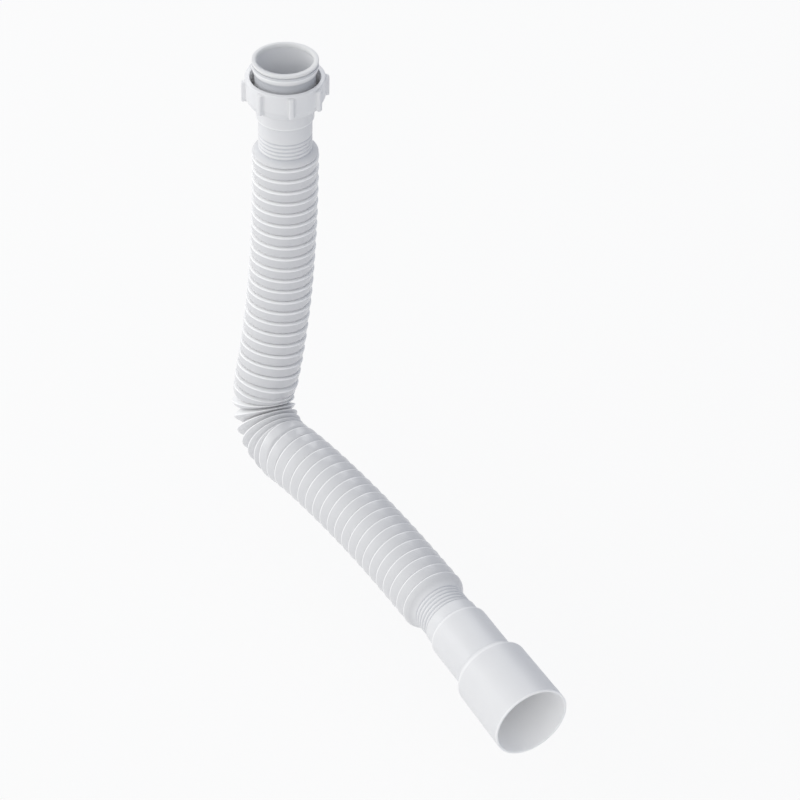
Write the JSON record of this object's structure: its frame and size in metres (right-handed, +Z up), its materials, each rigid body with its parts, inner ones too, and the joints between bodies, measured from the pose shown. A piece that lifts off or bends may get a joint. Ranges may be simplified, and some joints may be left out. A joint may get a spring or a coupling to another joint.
{
  "type": "corrugated waste pipe",
  "caption": "Flexible corrugated plastic waste hose with a captive union nut and seal at the inlet and a stepped push-in sleeve at the outlet.",
  "frame": {"origin": "centre of the inlet seal's top face, on the inlet's axis", "axes": "+Z up the inlet's axis, towards the waste outlet it hangs from; +X along the lower leg, towards the outlet; +Y completes the frame"},
  "size_m": [0.3614, 0.0713, 0.314],
  "materials": {
    "hose_plastic": "satin moulded",
    "nut_plastic": "satin moulded",
    "seal_rubber": "smooth"
  },
  "bodies": {
    "hose": {"waste_pipe": "hose_plastic", "inlet_seal": "seal_rubber"},
    "nut": {"union_nut": "nut_plastic"}
  },
  "joints": [
    {"name": "nut_spin", "type": "hinge", "parent": "hose", "child": "nut", "pos_m": [0, 0, -0.0212], "axis": [0, 0, 1], "continuous": true}
  ]
}
